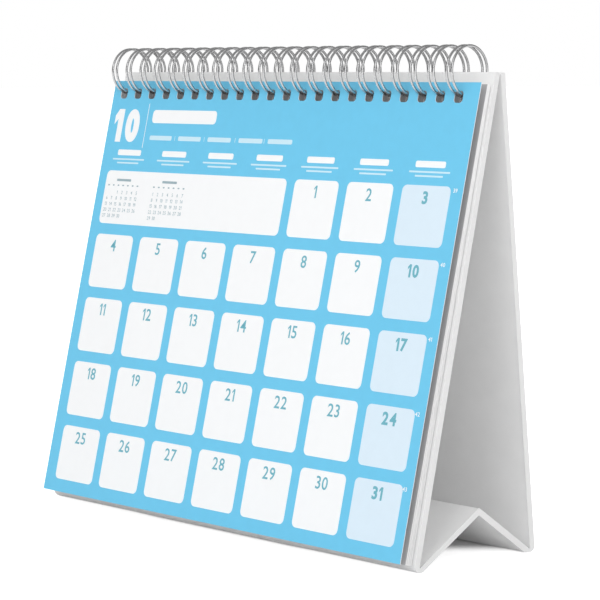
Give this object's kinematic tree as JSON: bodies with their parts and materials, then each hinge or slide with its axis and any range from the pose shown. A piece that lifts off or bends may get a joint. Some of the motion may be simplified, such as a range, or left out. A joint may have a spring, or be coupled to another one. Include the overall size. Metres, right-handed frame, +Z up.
{
  "type": "easel desk calendar",
  "caption": "Desk calendar: month leaves on a twin-loop wire, over a tent-shaped folded board stand with a raised base fold.",
  "frame": {"origin": "middle of the footprint, on the table", "axes": "+X along the width to the viewer's right, +Y from the front to the back, +Z up"},
  "size_m": [0.1956, 0.0626, 0.1704],
  "materials": {
    "stand_board": "smooth white matt board",
    "wire_steel": "plain grey steel wire, satin",
    "leaf_paper": "white uncoated paper",
    "printed_paper": "light blue printed paper with white day fields"
  },
  "bodies": {
    "stand": {"easel_stand": "stand_board", "binding_wire": "wire_steel", "leaf_block": "leaf_paper"},
    "leaf": {"front_leaf": "printed_paper"}
  },
  "joints": [
    {"name": "leaf_turn", "type": "hinge", "parent": "stand", "child": "leaf", "pos_m": [0, 0.00774, 0.16145], "axis": [-1, 0, 0], "range_deg": [0, 220]}
  ]
}
